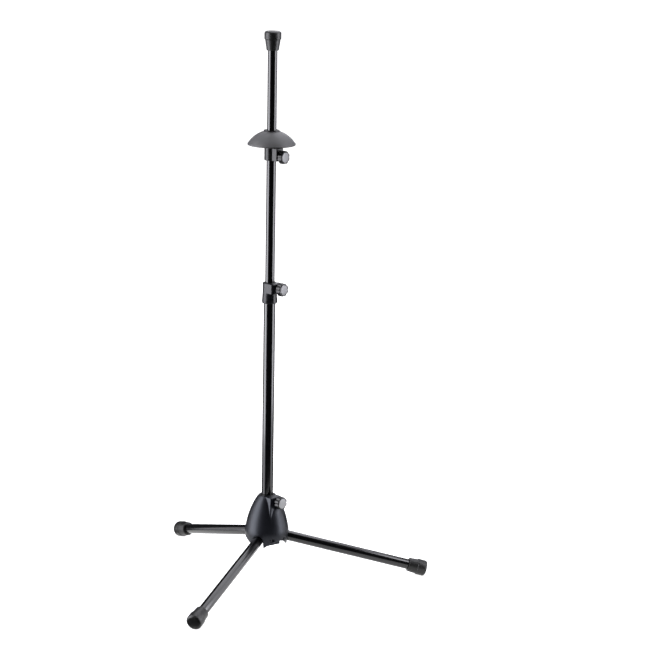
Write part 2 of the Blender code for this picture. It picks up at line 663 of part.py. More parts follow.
def build_thumb_screw(name, carrier, holder, place, tube_radius, knob_size, finishes):
    """A knob on its screw, and the pad that the screw presses on the tube. The holder is bored for them."""
    height, azimuth = place
    knob_back, neck_length = knob_size
    axis = add_empty(f"{name}_screw_axis", carrier, (0, 0, height), radians(azimuth))
    pad_front = tube_radius - PAD_WRAP
    pad_back = tube_radius + GAP + PAD_THICKNESS
    pad = add_piece(f"{name}_pressure_pad", rod(PAD_RADIUS, pad_front, pad_back), finishes["brass"], axis)
    hollow = rod(tube_radius + GAP, -CUT_PAST, CUT_PAST, TUBE_STEPS, "Z")
    combine(pad, add_tool(f"{name}_pad_tool", hollow, axis))

    pocket = rod(PAD_RADIUS + GAP, 0.0, pad_back + PAD_TRAVEL + GAP)
    passage = rod(SCREW_RADIUS + GAP, 0.0, knob_back)
    combine(holder, add_tool(f"{name}_pocket_tool", pocket, axis))
    combine(holder, add_tool(f"{name}_passage_tool", passage, axis))

    screw = rod(SCREW_RADIUS, pad_back + GAP, knob_back + SCREW_IN_KNOB)
    add_piece(f"{name}_screw", screw, finishes["zinc_steel"], axis)
    add_piece(f"{name}_knob", knob_mesh(knob_back, neck_length), finishes["black_plastic"], axis)
    seat = knob_back + KNOB_THICKNESS - KNOB_RECESS + GAP
    inlay = turned([
        (0, seat), (INLAY_RADIUS, seat), (INLAY_RADIUS, seat + INLAY_EDGE),
        (INLAY_RADIUS / 2, seat + INLAY_HEIGHT - GAP / 2), (0, seat + INLAY_HEIGHT),
    ], CAP_STEPS, "X")
    add_piece(f"{name}_inlay", inlay, finishes["bright_inlay"], axis)


def main():
    clear_scene()
    finishes = {name: make_finish(name) for name in FINISHES}
    stand = add_empty("stand", None, (POLE_X, 0, 0))

    reach = FLOOR_REACH
    floor = prism([(-reach, -reach), (reach, -reach), (reach, reach), (-reach, reach)], -CUT_PAST, 0.0)
    floor_tool = add_tool("floor_tool", floor, None)
    legs = []
    for number, azimuth in enumerate(LEG_AZIMUTHS, 1):
        turn = radians(azimuth)
        hinge = (HINGE_REACH * cos(turn), HINGE_REACH * sin(turn), HINGE_HEIGHT)
        legs.append(add_empty(f"leg_{number}_hinge", stand, hinge, turn, LEG_SLOPE))
    casting = build_base(stand, legs, finishes)
    for number, leg_frame in enumerate(legs, 1):
        build_leg(number, leg_frame, floor_tool, stand, finishes)

    lift = add_empty("tube_lift", stand)
    clamp = build_lower_pole(lift, finishes)
    guide_body = add_empty("extension_slide", lift)
    swivel_body = add_empty("extension_swivel", guide_body)
    build_upper_pole(guide_body, swivel_body, finishes)
    slide = add_empty("rest_slide", swivel_body)
    collar = build_bell_rest(slide, finishes)

    build_thumb_screw("base", stand, casting, (BASE_SCREW_HEIGHT, BASE_SCREW_AZIMUTH),
                      LOWER_TUBE_RADIUS, (BASE_KNOB_BACK, BASE_KNOB_NECK_LENGTH), finishes)
    build_thumb_screw("clamp", lift, clamp, (CLAMP_SCREW_HEIGHT, CLAMP_SCREW_AZIMUTH),
                      UPPER_TUBE_RADIUS, (CLAMP_KNOB_BACK, CLAMP_KNOB_NECK_LENGTH), finishes)
    build_thumb_screw("rest", slide, collar, (COLLAR_SCREW_HEIGHT, COLLAR_SCREW_AZIMUTH),
                      UPPER_TUBE_RADIUS, (REST_KNOB_BACK, REST_KNOB_NECK_LENGTH), finishes)


main()
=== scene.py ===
"""Looks for a folding trombone stand: fine surfaces, finishes, floor, light and camera.

Lengths are in metres, heights are above the floor, and azimuths are in degrees about the pole.
"""

import json
from collections import namedtuple
from math import atan2, cos, degrees, pi, radians, sin, sqrt, tan, tau

import bmesh
import bpy
from mathutils import Matrix, Vector


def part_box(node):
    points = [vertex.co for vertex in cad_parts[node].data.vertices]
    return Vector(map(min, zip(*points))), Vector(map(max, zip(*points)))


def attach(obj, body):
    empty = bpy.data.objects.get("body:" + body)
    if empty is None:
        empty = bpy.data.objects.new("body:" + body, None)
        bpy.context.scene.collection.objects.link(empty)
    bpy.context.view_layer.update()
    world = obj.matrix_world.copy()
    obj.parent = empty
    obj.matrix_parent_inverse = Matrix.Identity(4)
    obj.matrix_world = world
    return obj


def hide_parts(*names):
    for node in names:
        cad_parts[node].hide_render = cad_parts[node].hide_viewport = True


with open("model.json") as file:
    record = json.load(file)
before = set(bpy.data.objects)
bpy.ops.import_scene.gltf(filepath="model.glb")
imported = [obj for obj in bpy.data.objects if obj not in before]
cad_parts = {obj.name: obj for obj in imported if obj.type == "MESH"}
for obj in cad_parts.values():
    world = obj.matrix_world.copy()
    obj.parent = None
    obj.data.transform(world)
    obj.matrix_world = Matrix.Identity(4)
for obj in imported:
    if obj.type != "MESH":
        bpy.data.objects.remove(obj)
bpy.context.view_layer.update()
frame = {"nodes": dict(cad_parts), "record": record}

# Fineness
ROUND_STEPS = 96
BELL_STEPS = 192
PIN_STEPS = 48
KNOB_STEPS_PER_FLUTE = 20
CORNER_STEPS = 6
TUBE_EDGE_STEPS = 3
LUG_CORNER_STEPS = 8
BASE_CURVE_STEPS = 10
SLOT_CEILING_STEPS = 40
POCKET_OUTER_STEPS = 24
POCKET_INNER_STEPS = 12
DOME_OUTSIDE_STEPS = 48
DOME_INSIDE_STEPS = 40
DOME_LIP_STEPS = 6
ROUND_PROFILE = 0.5
SHARP_ANGLE = radians(40)
WELD = 0.000001

# Carved pieces: the weld after each cut, the grid of the remesh, how the edges are softened, and the
# share of the faces that is kept
CUT_WELD = 0.000004
CASTING_VOXEL = 0.0006
CLAMP_VOXEL = 0.0004
SOFTENING = 0.5
SOFTENING_ROUNDS = 5
FACES_KEPT = 0.4

# Room between pieces, and how far a cutting tool reaches past what it cuts
GAP = 0.0003
CUT_PAST = 0.005

# Stance
POLE_X = sum(corner.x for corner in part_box("lower_tube")) / 2
LEG_AZIMUTHS = (0, 120, 240)
POCKET_TURN = 60
LEG_SLOPE = radians(15.19)
HINGE_REACH = 0.028
HINGE_HEIGHT = 0.0813

# Tubes, and the bores that the pole's tubes run in
TUBE_WALL = 0.0012
TUBE_EDGE = 0.0003
LOWER_TUBE_RADIUS = 0.010
UPPER_TUBE_RADIUS = 0.008
LOWER_BORE = LOWER_TUBE_RADIUS + GAP
UPPER_BORE = UPPER_TUBE_RADIUS + GAP

# Legs, along their own axis from the hinge pin outwards
LEG_RADIUS = 0.009
LEG_START = 0.0075
LEG_END = 0.2592
NOSE_LENGTH = 0.020
NOSE_HALF_HEIGHT = 0.006
PIN_RADIUS = 0.0025
PIN_HALF_LENGTH = 0.0234
PIN_EDGE = 0.0006

# Rubber caps, alike on the feet and on the pole
Cap = namedtuple("Cap", "mouth_radius neck_radius drum_radius drum_length rounding")
FOOT_CAP = Cap(0.012, 0.013, 0.014, drum_length=0.0165, rounding=0.0045)
FOOT_START = 0.2315
FOOT_END = 0.2646
FOOT_BORE_END = 0.2595
TOP_CAP = Cap(0.01025, 0.0130, 0.0142, drum_length=0.0130, rounding=0.0035)
TOP_CAP_BORE_END = 0.9556
CAP_EDGE = 0.0006
CAP_RIDGE = 0.0008

# Base casting, its outline as (radius, height) from the top down
BASE_OUTLINE = (
    (0.0146, 0.1548), (0.0204, 0.1468), (0.0268, 0.1342), (0.0328, 0.1180),
    (0.0370, 0.1000), (0.0382, 0.0870), (0.0354, 0.0666),
)
BASE_TOP = BASE_OUTLINE[0][1]
BASE_BOTTOM = BASE_OUTLINE[-1][1]
OUTSIDE_BASE = 0.0500
CAVITY_RADIUS = 0.0156
CAVITY_TOP = 0.1255
CAVITY_CONE = 0.0030
SLOT_HALF_WIDTH = 0.0093
NOSE_CLEARANCE = 0.0005
ROOF_REACH = 0.0344
TUNNEL_START = 0.0040
TUNNEL_END = 0.0300
CHEEK_THICKNESS = 0.0035
POCKET_OUTER = 0.0335
POCKET_INNER = 0.0195
POCKET_TOP = 0.0940
SCALLOP_RADIUS = 0.0290
SCALLOP_TOP = 0.0790

# Extension clamp and sliding collar
CLAMP_TOP_RADIUS = 0.0122
CLAMP_BOTTOM_RADIUS = 0.01325
CLAMP_FOOT_HEIGHT = 0.0030
CLAMP_WAIST_ROUNDING = 0.010
CLAMP_EDGE = 0.0010
CLAMP_STEP = 0.5155
COLLAR_SHOULDER = 0.7708
COLLAR_NECK_RADIUS = 0.0100
COLLAR_RADIUS = 0.0120
COLLAR_EDGE = 0.0006

# Bushes and rings round the pole
BASE_BUSH_SEAT = 0.1504
BASE_BUSH_RADIUS = 0.0117
CLAMP_BUSH_SEAT = 0.5295
CLAMP_BUSH_RADIUS = 0.0097
REST_RING_RADIUS = 0.0134
BUSH_OUTER_EDGE = 0.0005
BUSH_INNER_EDGE = 0.0003

# Bell rest
DOME_CENTRE = 0.74833
DOME_RADIUS = 0.0471
DOME_WALL = 0.0030
DOME_RIM_RADIUS = 0.0407
DOME_BAND_DEPTH = 0.0007
DOME_FLAT_RADIUS = 0.0130
DOME_HUB_RADIUS = 0.0140
DOME_LIP = 0.0003

# Lugs that the thumb screws go through. A draft is how far a face leans out for each metre down
Lug = namedtuple("Lug", "top bottom half_width reach rounding side_draft front_draft", defaults=(0, 0))
LUGS = {
    "base": Lug(0.1541, 0.1120, 0.0125, 0.0220, 0.0020, side_draft=0.197, front_draft=0.160),
    "clamp": Lug(0.5328, 0.5158, 0.0121, 0.0184, 0.0045),
    "rest": Lug(0.7660, 0.7448, 0.0085, 0.0195, 0.0020),
}

# Thumb screws, measured outwards from the pole's axis, each with the body that turns
Screw = namedtuple("Screw", "azimuth height knob_back neck_length tube_radius body")
SCREWS = {
    "base": Screw(310, 0.1462, 0.0285, 0.0036, LOWER_TUBE_RADIUS, "base_thumb_screw"),
    "clamp": Screw(311, 0.5248, 0.0243, 0.0044, UPPER_TUBE_RADIUS, "clamp_thumb_screw"),
    "rest": Screw(315, 0.7518, 0.0218, 0.0019, UPPER_TUBE_RADIUS, "rest_thumb_screw"),
}
KNOB_RADIUS = 0.0112
KNOB_THICKNESS = 0.0096
KNOB_NECK_RADIUS = 0.0064
KNOB_NECK_EDGE = 0.0004
KNOB_NECK_ROOT = 0.0005
KNOB_FLUTES = 8
KNOB_FLUTE_DEPTH = 0.0012
KNOB_EDGE = 0.0012
KNOB_RECESS = 0.0010
KNOB_RECESS_EDGE = 0.0002
INLAY_RADIUS = 0.0086
INLAY_EDGE = 0.0009
INLAY_ROUNDING = 0.0004
INLAY_HEIGHT = 0.0014
INLAY_CROWN = 0.00015
INLAY_CROWN_ROUNDING = 0.004
SCREW_RADIUS = 0.0029
SCREW_IN_KNOB = 0.0056
PAD_RADIUS = 0.0036
PAD_REACH = 0.0058
PAD_ROOM = 0.0007

# Finishes: detail of the noise, height of the grain, and from what pointiness an edge is worn
DRIFT_DETAIL = 4.0
GRAIN_DETAIL = 3.0
GRAIN_HEIGHT = 0.0002
WEAR_START = 0.54
WEAR_FULL = 0.62
WEAR_SHARE = 0.5

# Camera, fitted to the photograph
CAMERA_PLACE = (-0.4040, -3.8537, 1.3913)
CAMERA_HEADING = radians(6.413)
CAMERA_PITCH = radians(13.539)
CAMERA_ROLL = radians(1.04)
CAMERA_LENS = 128.54
CAMERA_FAR = 200.0
SENSOR_WIDTH = 36.0

# Studio
FLOOR_REACH = 60.0
FLOOR_GLOW = 1.0
CARD_GLOW = 1.5
CARD_RADIUS = 0.325
CARD_DEPTH = 0.001
CARD_THICKNESS = 0.001
ROOM_COLOUR = (0.04, 0.04, 0.045, 1.0)
LAMP_TINT = (0.94, 0.94, 1.0)
LAMP_TARGET_HEIGHT = 0.80
# Upright softboxes at each side: azimuth and half angle in degrees, brightness, and the height below
# which they are dimmer
STRIPS = (
    ("left_strip", 187, 21, 12.5, -0.30), ("left_edge_strip", 153, 12, 2, -0.30),
    ("right_strip", 344, 12, 11.5, -0.15), ("right_edge_strip", 9, 14, 3.5, -0.15),
)
STRIP_DISTANCE = 1.6
STRIP_TOP = 2.40
STRIP_BOTTOM = -0.80
DIM_SHARE = 0.35
# Softboxes overhead and behind: azimuth, elevation, distance, size, brightness, and whether they light
# matt surfaces too
SOFTBOXES = (
    ("top_softbox", 62, 62, 2.0, (2.2, 2.2), 4.5, True),
    ("back_softbox", 73, 10, 2.0, (0.7, 1.3), 3.5, False),
)
FRONT_FILL = 1.8
FRONT_FILL_ANGLE = radians(100)
FRONT_FILL_TURN = (radians(60), 0, radians(-55))


# Outlines

def arc(centre, radius, start, end, steps):
    """Points on an arc, from one angle to another in degrees."""
    angles = [radians(start + (end - start) * step / steps) for step in range(steps + 1)]
    return [(centre[0] + radius * cos(angle), centre[1] + radius * sin(angle)) for angle in angles]


def angle_at(radius, reach):
    """The angle in degrees of the point on an arc that lies at a reach from its centre."""
    return degrees(atan2(sqrt(radius ** 2 - reach ** 2), reach))


def rounded(corners, steps=CORNER_STEPS):
    """A closed outline whose corners (x, y, rounding) are replaced by arcs."""
    outline = []
    for index, (x, y, rounding) in enumerate(corners):
        corner = Vector((x, y))
        if not rounding:
            outline.append((x, y))
            continue
        back = (Vector(corners[index - 1][:2]) - corner).normalized()
        ahead = (Vector(corners[(index + 1) % len(corners)][:2]) - corner).normalized()
        half_angle = back.angle(ahead) / 2
        centre = corner + (back + ahead).normalized() * rounding / sin(half_angle)
        first = corner + back * rounding / tan(half_angle) - centre
        last = corner + ahead * rounding / tan(half_angle) - centre
        turn = pi - 2 * half_angle
        for step in range(steps + 1):
            share = step / steps
            spoke = (first * sin((1 - share) * turn) + last * sin(share * turn)) / sin(turn)
            outline.append(tuple(centre + spoke))
    return outline


def smooth_curve(points, steps):
    """A Catmull-Rom curve through the points."""
    def between(before, here, following, after, t):
        slope = following - before
        bend = 2 * before - 5 * here + 4 * following - after
        twist = 3 * here - before - 3 * following + after
        return 0.5 * (2 * here + slope * t + bend * t ** 2 + twist * t ** 3)

    ends = [points[0], *points, points[-1]]
    curve = []
    for stretch in zip(ends, ends[1:], ends[2:], ends[3:]):
        for step in range(steps):
            curve.append(tuple(between(*values, step / steps) for values in zip(*stretch)))
    return [*curve, tuple(points[-1])]


# Solids

def turned(outline, steps=ROUND_STEPS, along="Z"):
    """A solid of revolution from (radius, height) points."""
    mesh = bmesh.new()
    verts = [mesh.verts.new((radius, 0.0, height)) for radius, height in outline]
    edges = [mesh.edges.new(pair) for pair in zip(verts, verts[1:])]
    if outline[0][0] > 0:
        edges.append(mesh.edges.new((verts[-1], verts[0])))
    bmesh.ops.spin(mesh, geom=verts + edges, cent=(0, 0, 0), axis=(0, 0, 1), angle=tau, steps=steps)
    bmesh.ops.remove_doubles(mesh, verts=mesh.verts, dist=WELD)
    bmesh.ops.recalc_face_normals(mesh, faces=mesh.faces)
    if along == "X":
        bmesh.ops.rotate(mesh, verts=mesh.verts, matrix=Matrix.Rotation(pi / 2, 3, "Y"))
    if along == "Y":
        bmesh.ops.rotate(mesh, verts=mesh.verts, matrix=Matrix.Rotation(-pi / 2, 3, "X"))
    return mesh


def rod(radius, low, high, along="X"):
    """A round bar from one place to another along an axis."""
    return turned([(0, low), (radius, low), (radius, high), (0, high)], ROUND_STEPS, along)


def prism(outline, low, high, across="Z"):
    """A closed outline extruded along Z, or a side view in X and Z extruded along Y."""
    mesh = bmesh.new()
    if across == "Z":
        verts = [mesh.verts.new((x, y, low)) for x, y in outline]
        depth = Vector((0, 0, high - low))
    else:
        verts = [mesh.verts.new((x, low, z)) for x, z in outline]
        depth = Vector((0, high - low, 0))
    face = mesh.faces.new(verts)
    sides = bmesh.ops.extrude_face_region(mesh, geom=[face])
    moved = [item for item in sides["geom"] if isinstance(item, bmesh.types.BMVert)]
    bmesh.ops.translate(mesh, verts=moved, vec=depth)
    bmesh.ops.recalc_face_normals(mesh, faces=mesh.faces)
    return mesh


def lug_block(lug):
    """A block that sticks out along X, its sides and front leaning outwards on the way down."""
    mesh = bmesh.new()
    rings = []
    for height in (lug.top, lug.bottom):
        spread = lug.half_width + (lug.top - height) * lug.side_draft
        front = lug.reach + (lug.top - height) * lug.front_draft
        plan = ((0, -spread), (front, -spread), (front, spread), (0, spread))
        rings.append([mesh.verts.new((x, y, height)) for x, y in plan])
    above, below = rings
    mesh.faces.new(above)
    mesh.faces.new(reversed(below))
    following = zip(above[1:] + above[:1], below[1:] + below[:1])
    for (upper, lower), (next_upper, next_lower) in zip(zip(above, below), following):
        mesh.faces.new((upper, lower, next_lower, next_upper))
    bmesh.ops.recalc_face_normals(mesh, faces=mesh.faces)
    front_edges = [mesh.edges.get(ends) for ends in zip(above[1:3], below[1:3])]
    bmesh.ops.bevel(mesh, geom=front_edges, offset=lug.rounding, segments=LUG_CORNER_STEPS,
                    profile=ROUND_PROFILE, affect="EDGES")
    return mesh


# Placing

def heights(node):
    """How low and how high a CAD node reaches."""
    lowest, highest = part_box(node)
    return lowest.z, highest.z


def pole_frame(azimuth=0.0, height=0.0):
    """A frame on the pole's axis, its X axis pointing along an azimuth."""
    return Matrix.Translation((POLE_X, 0, height)) @ Matrix.Rotation(radians(azimuth), 4, "Z")


def hinge_frame(azimuth):
    """A level frame on a leg's hinge pin, its X axis pointing outwards."""
    return pole_frame(azimuth) @ Matrix.Translation((HINGE_REACH, 0, HINGE_HEIGHT))


def leg_frame(azimuth):
    """A leg's own frame: the hinge pin at its origin, X along the leg."""
    return hinge_frame(azimuth) @ Matrix.Rotation(LEG_SLOPE, 4, "Y")


def add_object(name, mesh, place):
    """A new object from a mesh that was drawn in a frame of its own."""
    mesh.transform(place)
    data = bpy.data.meshes.new(name)
    mesh.to_mesh(data)
    mesh.free()
    data.shade_smooth()
    data.set_sharp_from_angle(angle=SHARP_ANGLE)
    item = bpy.data.objects.new(name, data)
    bpy.context.scene.collection.objects.link(item)
    return item


def dress(piece, node, slot, body, finishes):
    """Makes a fine piece stand for a CAD node, with the finish of its slot."""
    piece.data.materials.clear()
    piece.data.materials.append(finishes[slot])
    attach(piece, body)
    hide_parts(node)


def add_piece(node, mesh, place, slot, body, finishes):
    """A fine piece that stands for the CAD node of the same name."""
    piece = add_object(f"fine_{node}", mesh, place)
    dress(piece, node, slot, body, finishes)
    return piece


def add_carved_piece(node, solid, tools, voxel, slot, body, finishes):
    """A cast piece: a solid on the pole with tools (operation, mesh, frame) applied, its edges softened as
    a mould leaves them."""
    piece = add_object(f"fine_{node}", solid, pole_frame())
    cutters = []
    for index, (operation, mesh, tool_place) in enumerate(tools):
        cutter = add_object(f"{piece.name}_cutter_{index}", mesh, tool_place)
        cutters.append(cutter)
        modifier = piece.modifiers.new(cutter.name, "BOOLEAN")
        modifier.operation = operation
        modifier.solver = "EXACT"
        modifier.object = cutter
        weld = piece.modifiers.new(f"weld_{index}", "WELD")
        weld.merge_threshold = CUT_WELD
    remesh = piece.modifiers.new("even_grid", "REMESH")
    remesh.mode = "VOXEL"
    remesh.voxel_size = voxel
    smooth = piece.modifiers.new("soft_edges", "SMOOTH")
    smooth.factor = SOFTENING
    smooth.iterations = SOFTENING_ROUNDS
    lighten = piece.modifiers.new("fewer_faces", "DECIMATE")
    lighten.ratio = FACES_KEPT
    graph = bpy.context.evaluated_depsgraph_get()
    data = bpy.data.meshes.new_from_object(piece.evaluated_get(graph))
    piece.modifiers.clear()
    piece.data = data
    data.shade_smooth()
    for cutter in cutters:
        bpy.data.objects.remove(cutter, do_unlink=True)
    dress(piece, node, slot, body, finishes)


# Finishes

def add_noise(nodes, links, place, scale, detail):
    """A noise pattern in a place's coordinates."""
    noise = nodes.new("ShaderNodeTexNoise")
    noise.inputs["Scale"].default_value = scale
    noise.inputs["Detail"].default_value = detail
    links.new(place, noise.inputs["Vector"])
    return noise.outputs["Fac"]


def add_wear(nodes, links, colour, worn):
    """Mixes in the worn colour where the surface is sharply raised."""
    shape = nodes.new("ShaderNodeNewGeometry")
    edges = nodes.new("ShaderNodeMapRange")
    edges.inputs["From Min"].default_value = WEAR_START
    edges.inputs["From Max"].default_value = WEAR_FULL
    edges.inputs["To Max"].default_value = WEAR_SHARE
    links.new(shape.outputs["Pointiness"], edges.inputs["Value"])
    mix = nodes.new("ShaderNodeMix")
    mix.data_type = "RGBA"
    mix.inputs["B"].default_value = (*worn, 1.0)
    links.new(colour, mix.inputs["A"])
    links.new(edges.outputs["Result"], mix.inputs["Factor"])
    return mix.outputs["Result"]


def make_finish(name, dark, light, roughness, metallic=0.0, mottle=40.0, grain=900.0, bump=0.05,
                stretch=(1.0, 1.0, 1.0), specular=0.5, sheen_tint=(1.0, 1.0, 1.0), worn=None):
    """A surface whose colour and roughness drift over it, with a fine grain. stretch draws the pattern out
    along an axis, as brushing or drawing does, sheen_tint colours the highlights, and worn is the colour
    that raised edges rub down to."""
    finish = bpy.data.materials.new(name)
    finish.use_nodes = True
    nodes, links = finish.node_tree.nodes, finish.node_tree.links
    shader = nodes["Principled BSDF"]
    shader.inputs["Metallic"].default_value = metallic
    shader.inputs["Specular IOR Level"].default_value = specular
    shader.inputs["Specular Tint"].default_value = (*sheen_tint, 1.0)
    place = nodes.new("ShaderNodeTexCoord")
    mapping = nodes.new("ShaderNodeMapping")
    mapping.inputs["Scale"].default_value = stretch
    links.new(place.outputs["Object"], mapping.inputs["Vector"])

    drift = add_noise(nodes, links, mapping.outputs["Vector"], mottle, DRIFT_DETAIL)
    colour = nodes.new("ShaderNodeMix")
    colour.data_type = "RGBA"
    colour.inputs["A"].default_value = (*dark, 1.0)
    colour.inputs["B"].default_value = (*light, 1.0)
    links.new(drift, colour.inputs["Factor"])
    result = colour.outputs["Result"]
    if worn:
        result = add_wear(nodes, links, result, worn)
    links.new(result, shader.inputs["Base Color"])

    spread = nodes.new("ShaderNodeMapRange")
    spread.inputs["To Min"].default_value = roughness[0]
    spread.inputs["To Max"].default_value = roughness[1]
    links.new(drift, spread.inputs["Value"])
    links.new(spread.outputs["Result"], shader.inputs["Roughness"])

    fine = add_noise(nodes, links, mapping.outputs["Vector"], grain, GRAIN_DETAIL)
    relief = nodes.new("ShaderNodeBump")
    relief.inputs["Strength"].default_value = bump
    relief.inputs["Distance"].default_value = GRAIN_HEIGHT
    links.new(fine, relief.inputs["Height"])
    links.new(relief.outputs["Normal"], shader.inputs["Normal"])
    return finish


def make_finishes():
    """One finish for each material slot."""
    return {
        "black_casting": make_finish(
            "casting_paint", (0.0032, 0.0035, 0.0052), (0.0075, 0.0081, 0.0112), (0.32, 0.42), mottle=60,
            grain=2600, bump=0.10, specular=0.20, sheen_tint=(0.86, 0.91, 1.0), worn=(0.028, 0.030, 0.036)),
        "black_tube": make_finish(
            "tube_paint", (0.0010, 0.0010, 0.0013), (0.0025, 0.0025, 0.0030), (0.14, 0.20), mottle=25,
            grain=900, bump=0.008, stretch=(1.0, 1.0, 0.25), specular=0.42),
        "grey_clamp": make_finish(
            "clamp_satin", (0.007, 0.007, 0.009), (0.013, 0.014, 0.017), (0.24, 0.32), mottle=90,
            grain=2600, bump=0.05, specular=0.17, worn=(0.05, 0.05, 0.055)),
        "rubber": make_finish(
            "cap_rubber", (0.006, 0.006, 0.006), (0.013, 0.013, 0.012), (0.36, 0.46), mottle=120,
            grain=2200, bump=0.20, specular=0.25, worn=(0.05, 0.05, 0.05)),
        "grey_dome": make_finish(
            "dome_rubber", (0.068, 0.068, 0.070), (0.090, 0.090, 0.092), (0.48, 0.62), mottle=70,
            grain=2400, bump=0.22, specular=0.34),
        "black_plastic": make_finish(
            "moulded_black", (0.004, 0.004, 0.004), (0.009, 0.009, 0.010), (0.26, 0.36), mottle=90,
            grain=2600, bump=0.08, specular=0.20, worn=(0.03, 0.03, 0.03)),
        "bright_inlay": make_finish(
            "inlay_silver", (0.34, 0.34, 0.35), (0.48, 0.48, 0.49), (0.38, 0.52), metallic=0.10,
            mottle=180, grain=3000, bump=0.10, specular=0.25),
        "zinc_steel": make_finish(
            "zinc_plate", (0.42, 0.42, 0.44), (0.58, 0.58, 0.60), (0.28, 0.42), metallic=1.0,
            mottle=120, grain=2200, bump=0.10),
        "black_steel": make_finish(
            "black_steel", (0.020, 0.020, 0.022), (0.036, 0.036, 0.040), (0.34, 0.46), metallic=1.0,
            mottle=120, grain=2200, bump=0.08),
        "brass": make_finish(
            "turned_brass", (0.52, 0.37, 0.15), (0.68, 0.50, 0.22), (0.28, 0.42), metallic=1.0,
            mottle=150, grain=2600, bump=0.10),
    }


def dress_cad_nodes(finishes):
    """Every CAD piece gets the finish of its slot, and the inner ones keep their CAD shapes."""
    slots = {part["node"]: part["material_slot"] for part in frame["record"]["subparts"]}
    for node, item in frame["nodes"].items():
        item.data.materials.clear()
        item.data.materials.append(finishes[slots[node]])


# Clamping

def lug_tool(name):
    """Adds the lug of a thumb screw to a solid."""
    return "UNION", lug_block(LUGS[name]), pole_frame(SCREWS[name].azimuth)


def screw_bores(name):
    """The pocket for the pressure pad and the passage for the screw, through a clamp. The pocket is drawn
    wider and deeper than it has to be, because the remesh shrinks it."""
    screw = SCREWS[name]
    place = pole_frame(screw.azimuth, screw.height)
    pocket = rod(PAD_RADIUS + PAD_ROOM, 0.0, screw.tube_radius + PAD_REACH)
    passage = rod(SCREW_RADIUS + GAP, 0.0, screw.knob_back)
    return [("DIFFERENCE", pocket, place), ("DIFFERENCE", passage, place)]


def knob_mesh(back, neck_length):
    """A fluted knob along X: a neck, a drum with finger flutes, and a round recess for the inlay."""
    face = back + KNOB_THICKNESS
    neck_start = back - neck_length
    bore = SCREW_RADIUS + GAP
    bore_end = back + SCREW_IN_KNOB + GAP
    recess = INLAY_RADIUS + GAP
    mesh = turned(rounded([
        (0, bore_end, 0), (bore, bore_end, 0), (bore, neck_start, 0),
        (KNOB_NECK_RADIUS, neck_start, KNOB_NECK_EDGE), (KNOB_NECK_RADIUS, back, KNOB_NECK_ROOT),
        (KNOB_RADIUS, back, KNOB_EDGE), (KNOB_RADIUS, face, KNOB_EDGE), (recess, face, KNOB_RECESS_EDGE),
        (recess, face - KNOB_RECESS, 0), (0, face - KNOB_RECESS, 0),
    ]), KNOB_FLUTES * KNOB_STEPS_PER_FLUTE, "X")
    for vert in mesh.verts:
        reach = sqrt(vert.co.y ** 2 + vert.co.z ** 2)
        outside_recess = reach > recess + KNOB_RECESS_EDGE
        behind_recess = reach > KNOB_NECK_RADIUS and vert.co.x < face - KNOB_RECESS
        if outside_recess or behind_recess:
            angle = atan2(vert.co.z, vert.co.y)
            rim_share = min(1.0, (reach - KNOB_NECK_RADIUS) / (KNOB_RADIUS - KNOB_NECK_RADIUS - KNOB_EDGE))
            depth = KNOB_FLUTE_DEPTH * rim_share * (0.5 + 0.5 * cos(KNOB_FLUTES * angle)) ** 2
            vert.co.y *= (reach - depth) / reach
            vert.co.z *= (reach - depth) / reach
    return mesh


def build_thumb_screw(name, finishes):
    """A knob and the inlay in its face."""
    screw = SCREWS[name]
    place = pole_frame(screw.azimuth, screw.height)
    knob = knob_mesh(screw.knob_back, screw.neck_length)
    add_piece(f"{name}_knob", knob, place, "black_plastic", screw.body, finishes)
    seat = screw.knob_back + KNOB_THICKNESS - KNOB_RECESS + GAP
    crown = seat + INLAY_HEIGHT
    inlay = turned(rounded([
        (0, seat, 0), (INLAY_RADIUS, seat, 0), (INLAY_RADIUS, seat + INLAY_EDGE, INLAY_ROUNDING),
        (INLAY_RADIUS / 2, crown - INLAY_CROWN, INLAY_CROWN_ROUNDING), (0, crown, 0),
    ]), along="X")
    add_piece(f"{name}_inlay", inlay, place, "bright_inlay", screw.body, finishes)


def build_bush(node, body, bore, radius, finishes):
    """A ring that fills a mouth round the pole."""
    low, high = heights(node)
    section = rounded([
        (bore, low, 0), (radius, low, 0), (radius, high, BUSH_OUTER_EDGE), (bore, high, BUSH_INNER_EDGE),
    ])
    add_piece(node, turned(section), pole_frame(), "black_plastic", body, finishes)


# Base

def fold_slot_outline():
    """Side view of the room that a leg and its nose need, from the leg's open to its folded place."""
    def leg_axis_height(reach):
        return HINGE_HEIGHT - (reach - HINGE_REACH) * tan(LEG_SLOPE)

    below = BASE_BOTTOM - CUT_PAST
    sweep = sqrt(NOSE_LENGTH ** 2 + NOSE_HALF_HEIGHT ** 2) + NOSE_CLEARANCE
    roof_angle = angle_at(sweep, ROOF_REACH - HINGE_REACH)
    ceiling = arc((HINGE_REACH, HINGE_HEIGHT), sweep, roof_angle, 180, SLOT_CEILING_STEPS)
    return [
        (0, below), (OUTSIDE_BASE, below), (OUTSIDE_BASE, leg_axis_height(OUTSIDE_BASE)),
        (ROOF_REACH, leg_axis_height(ROOF_REACH)), *ceiling, (0, HINGE_HEIGHT),
    ]


def pocket_outline():
    """Plan of the hollow between two legs' cheeks, about the X axis."""
    cheek = SLOT_HALF_WIDTH + CHEEK_THICKNESS

    def half_angle(radius):
        return POCKET_TURN - degrees(atan2(cheek, sqrt(radius ** 2 - cheek ** 2)))

    outer, inner = half_angle(POCKET_OUTER), half_angle(POCKET_INNER)
    return [
        *arc((0, 0), POCKET_OUTER, -outer, outer, POCKET_OUTER_STEPS),
        *arc((0, 0), POCKET_INNER, inner, -inner, POCKET_INNER_STEPS),
    ]


